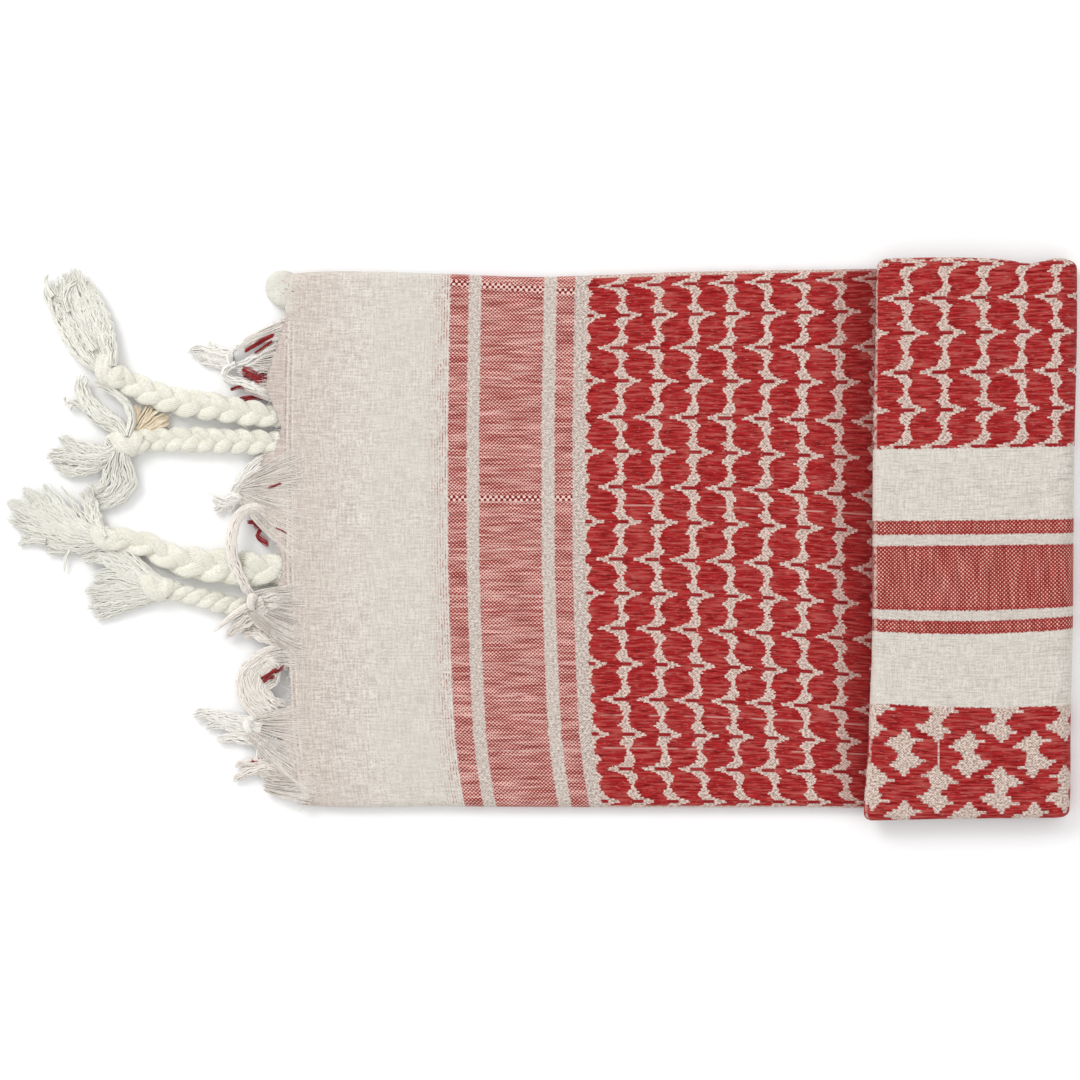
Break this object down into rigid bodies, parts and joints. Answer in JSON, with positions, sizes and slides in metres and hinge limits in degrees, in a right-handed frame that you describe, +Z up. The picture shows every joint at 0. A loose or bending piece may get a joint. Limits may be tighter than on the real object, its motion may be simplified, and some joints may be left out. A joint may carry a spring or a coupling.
{
  "type": "folded keffiyeh headscarf",
  "caption": "Square cotton headscarf, folded into a long strip with one end turned over, plaited tassels and a knotted fringe at the other end.",
  "frame": {"origin": "on the surface that the scarf lies on, under the middle of its box", "axes": "+X along the strip, from the tassels to the turned-over end; +Y across it, towards the far long edge; +Z up"},
  "size_m": [0.5506, 0.2884, 0.0159],
  "materials": {
    "folded_edges": "edges of the folded cotton layers, red and white",
    "figured_cotton": "loose plain-weave cotton with a red woven figure and stripes, matt",
    "tassel_cord": "soft cream cotton cord, plaited, with combed-out ends",
    "fringe_yarn": "pinkish white warp ends, knotted and frayed"
  },
  "bodies": {
    "root": {"folded_layers": "folded_edges", "main_stretch": "figured_cotton", "turned_stretch": "figured_cotton", "tassel_1": "tassel_cord", "tassel_2": "tassel_cord", "tassel_3": "tassel_cord", "tassel_4": "tassel_cord", "corner_fringe": "fringe_yarn", "upper_fringe": "fringe_yarn", "upper_loop_fringe": "fringe_yarn", "middle_fringe": "fringe_yarn", "crossing_fringe": "fringe_yarn", "knotted_fringe": "fringe_yarn", "loop_fringe": "fringe_yarn", "lower_fringe": "fringe_yarn", "bottom_fringe": "fringe_yarn"}
  },
  "joints": []
}
